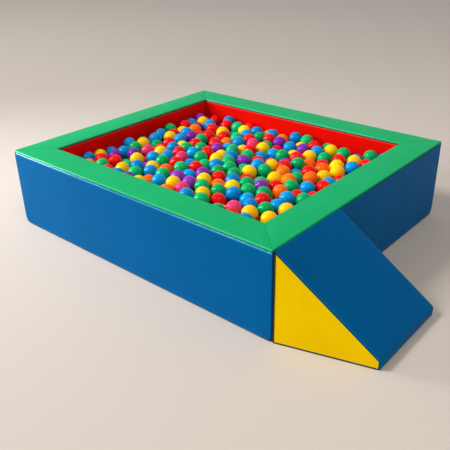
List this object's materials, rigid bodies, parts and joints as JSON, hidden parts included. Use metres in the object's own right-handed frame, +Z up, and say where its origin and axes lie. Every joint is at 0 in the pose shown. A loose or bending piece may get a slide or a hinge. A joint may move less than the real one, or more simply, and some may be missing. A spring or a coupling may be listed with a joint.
{
  "type": "ball pit",
  "caption": "Soft play ball pit: padded walls mitred at the corners, a wedge ramp at one side, a floor mat and a fill of plastic balls.",
  "frame": {"origin": "on the floor, at the middle of the four walls", "axes": "+X out of the wall that carries the ramp, -Y out of the long front wall, +Z up"},
  "size_m": [1.9883, 1.4, 0.4],
  "materials": {
    "blue_vinyl": "satin blue vinyl-coated cloth with a fine grain",
    "green_vinyl": "satin green vinyl-coated cloth with a fine grain",
    "red_vinyl": "satin red vinyl-coated cloth with a fine grain",
    "yellow_vinyl": "satin yellow vinyl-coated cloth with a fine grain",
    "black_base_cloth": "black non-slip base cloth",
    "foam": "cream polyurethane foam, cut faces",
    "hook_strip": "black hook tape",
    "loop_strip": "black loop tape",
    "zip_tape": "black woven zip tape with a nylon coil",
    "zip_slider": "black painted die-cast metal",
    "ball_mix": "glossy moulded plastic balls in mixed colours",
    "ball_red": "glossy red moulded plastic",
    "ball_blue": "glossy blue moulded plastic",
    "ball_green": "glossy green moulded plastic",
    "ball_yellow": "glossy yellow moulded plastic",
    "ball_purple": "glossy purple moulded plastic",
    "ball_orange": "glossy orange moulded plastic",
    "ball_pink": "glossy pink moulded plastic"
  },
  "bodies": {
    "pit_base": {"mat_core": "foam", "mat_top_cover": "blue_vinyl", "mat_base_cover": "black_base_cloth", "mat_zip": "zip_tape", "ball_bed": "ball_mix"},
    "front_wall": {"front_wall_core": "foam", "front_wall_outer_panel": "blue_vinyl", "front_wall_top_panel": "green_vinyl", "front_wall_inner_panel": "red_vinyl", "front_wall_base_panel": "black_base_cloth", "front_wall_zip": "zip_tape", "front_left_hook_strip": "hook_strip", "front_right_hook_strip": "hook_strip"},
    "right_wall": {"right_wall_core": "foam", "right_wall_outer_panel": "blue_vinyl", "right_wall_top_panel": "green_vinyl", "right_wall_inner_panel": "red_vinyl", "right_wall_base_panel": "black_base_cloth", "right_wall_zip": "zip_tape", "front_right_loop_strip": "loop_strip", "back_right_loop_strip": "loop_strip", "ramp_wall_loop_strip": "loop_strip"},
    "back_wall": {"back_wall_core": "foam", "back_wall_outer_panel": "blue_vinyl", "back_wall_top_panel": "green_vinyl", "back_wall_inner_panel": "red_vinyl", "back_wall_base_panel": "black_base_cloth", "back_wall_zip": "zip_tape", "back_left_hook_strip": "hook_strip", "back_right_hook_strip": "hook_strip"},
    "left_wall": {"left_wall_core": "foam", "left_wall_outer_panel": "blue_vinyl", "left_wall_top_panel": "green_vinyl", "left_wall_inner_panel": "red_vinyl", "left_wall_base_panel": "black_base_cloth", "left_wall_zip": "zip_tape", "front_left_loop_strip": "loop_strip", "back_left_loop_strip": "loop_strip"},
    "ramp": {"ramp_core": "foam", "ramp_slope_panel": "blue_vinyl", "ramp_near_side_panel": "yellow_vinyl", "ramp_far_side_panel": "yellow_vinyl", "ramp_base_panel": "black_base_cloth", "ramp_hook_strip": "hook_strip", "ramp_zip": "zip_tape"},
    "front_wall_zip_slider": {"front_wall_zip_slider": "zip_slider"},
    "right_wall_zip_slider": {"right_wall_zip_slider": "zip_slider"},
    "back_wall_zip_slider": {"back_wall_zip_slider": "zip_slider"},
    "left_wall_zip_slider": {"left_wall_zip_slider": "zip_slider"},
    "ramp_zip_slider": {"ramp_zip_slider": "zip_slider"},
    "mat_zip_slider": {"mat_zip_slider": "zip_slider"},
    "loose_ball_red": {"loose_ball_red": "ball_red"},
    "loose_ball_blue": {"loose_ball_blue": "ball_blue"},
    "loose_ball_green": {"loose_ball_green": "ball_green"},
    "loose_ball_yellow": {"loose_ball_yellow": "ball_yellow"},
    "loose_ball_purple": {"loose_ball_purple": "ball_purple"},
    "loose_ball_orange": {"loose_ball_orange": "ball_orange"},
    "loose_ball_pink": {"loose_ball_pink": "ball_pink"}
  },
  "joints": [
    {"name": "front_wall_pull", "type": "slide", "parent": "pit_base", "child": "front_wall", "axis": [0, -1, 0], "range_m": [0, 0.3]},
    {"name": "right_wall_pull", "type": "slide", "parent": "pit_base", "child": "right_wall", "axis": [1, 0, 0], "range_m": [0, 0.3]},
    {"name": "back_wall_pull", "type": "slide", "parent": "pit_base", "child": "back_wall", "axis": [0, 1, 0], "range_m": [0, 0.3]},
    {"name": "left_wall_pull", "type": "slide", "parent": "pit_base", "child": "left_wall", "axis": [-1, 0, 0], "range_m": [0, 0.3]},
    {"name": "ramp_pull", "type": "slide", "parent": "right_wall", "child": "ramp", "axis": [1, 0, 0], "range_m": [0, 0.3]},
    {"name": "front_wall_zip_slide", "type": "slide", "parent": "front_wall", "child": "front_wall_zip_slider", "axis": [1, 0, 0], "range_m": [0, 0.83]},
    {"name": "right_wall_zip_slide", "type": "slide", "parent": "right_wall", "child": "right_wall_zip_slider", "axis": [0, 1, 0], "range_m": [0, 0.63]},
    {"name": "back_wall_zip_slide", "type": "slide", "parent": "back_wall", "child": "back_wall_zip_slider", "axis": [-1, 0, 0], "range_m": [0, 0.83]},
    {"name": "left_wall_zip_slide", "type": "slide", "parent": "left_wall", "child": "left_wall_zip_slider", "axis": [0, -1, 0], "range_m": [0, 0.63]},
    {"name": "ramp_zip_slide", "type": "slide", "parent": "ramp", "child": "ramp_zip_slider", "axis": [0, -1, 0], "range_m": [0, 0.28]},
    {"name": "mat_zip_slide", "type": "slide", "parent": "pit_base", "child": "mat_zip_slider", "axis": [1, 0, 0], "range_m": [0, 0.93]},
    {"name": "red_ball_lift", "type": "slide", "parent": "pit_base", "child": "loose_ball_red", "axis": [0, 0, 1], "range_m": [0, 0.2]},
    {"name": "blue_ball_lift", "type": "slide", "parent": "pit_base", "child": "loose_ball_blue", "axis": [0, 0, 1], "range_m": [0, 0.2]},
    {"name": "green_ball_lift", "type": "slide", "parent": "pit_base", "child": "loose_ball_green", "axis": [0, 0, 1], "range_m": [0, 0.2]},
    {"name": "yellow_ball_lift", "type": "slide", "parent": "pit_base", "child": "loose_ball_yellow", "axis": [0, 0, 1], "range_m": [0, 0.2]},
    {"name": "purple_ball_lift", "type": "slide", "parent": "pit_base", "child": "loose_ball_purple", "axis": [0, 0, 1], "range_m": [0, 0.2]},
    {"name": "orange_ball_lift", "type": "slide", "parent": "pit_base", "child": "loose_ball_orange", "axis": [0, 0, 1], "range_m": [0, 0.2]},
    {"name": "pink_ball_lift", "type": "slide", "parent": "pit_base", "child": "loose_ball_pink", "axis": [0, 0, 1], "range_m": [0, 0.2]}
  ]
}
